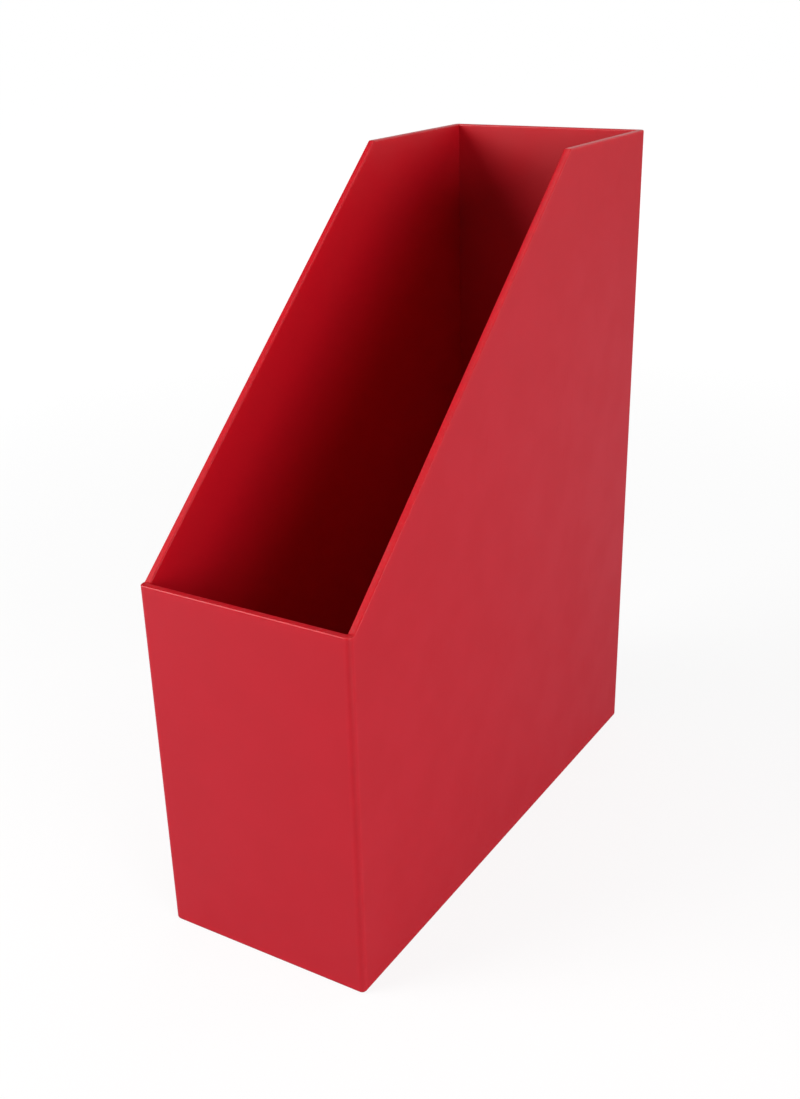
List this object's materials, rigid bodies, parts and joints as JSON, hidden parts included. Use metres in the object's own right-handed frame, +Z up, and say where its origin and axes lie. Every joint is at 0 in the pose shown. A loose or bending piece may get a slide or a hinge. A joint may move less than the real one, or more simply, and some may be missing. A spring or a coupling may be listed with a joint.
{
  "type": "magazine file holder",
  "caption": "Upright desk file for magazines and A4 papers: an open tray with a low front, a tall back and sides with sloping upper edges.",
  "frame": {"origin": "on the ground, under the middle of the holder", "axes": "+Z up, the low front faces -Y, +X towards the right side panel"},
  "size_m": [0.1, 0.2595, 0.31],
  "materials": {
    "red_plastic": "satin moulded polystyrene with a fine grain"
  },
  "bodies": {
    "root": {"left_side_panel": "red_plastic", "right_side_panel": "red_plastic", "front_panel": "red_plastic", "back_panel": "red_plastic", "base_panel": "red_plastic"}
  },
  "joints": []
}
